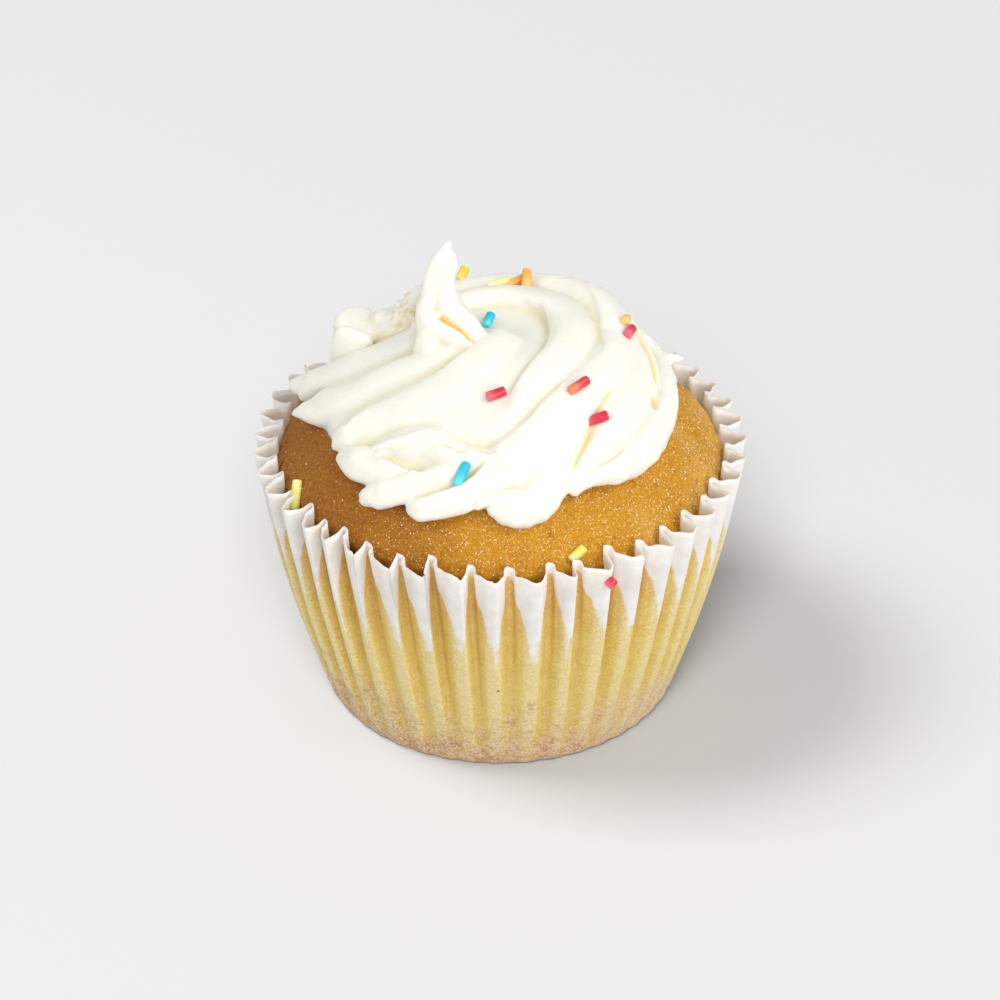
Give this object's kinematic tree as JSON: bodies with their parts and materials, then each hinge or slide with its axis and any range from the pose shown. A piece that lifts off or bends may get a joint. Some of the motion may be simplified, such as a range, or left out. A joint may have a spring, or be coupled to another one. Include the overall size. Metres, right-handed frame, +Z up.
{
  "type": "cupcake",
  "caption": "Golden sponge cupcake in a pleated white paper case, topped with a swirl of white piped cream and coloured sugar sprinkles.",
  "frame": {"origin": "middle of the flat bottom of the paper case, on the surface it stands on", "axes": "+Z up through the cream; -Y is the side where the foot of the front cream ridge hangs lowest; the peak of the cream leans to -X"},
  "size_m": [0.0702, 0.0701, 0.0711],
  "materials": {
    "paper": "thin greaseproof paper, white where free and yellow where it sticks to the sponge",
    "sponge": "baked sponge crust, golden brown, finely grained, with a faint sugary sparkle",
    "cream": "smooth whipped cream, soft sheen, translucent"
  },
  "bodies": {
    "root": {"paper_case": "paper", "cake": "sponge", "cream": "cream"}
  },
  "joints": []
}
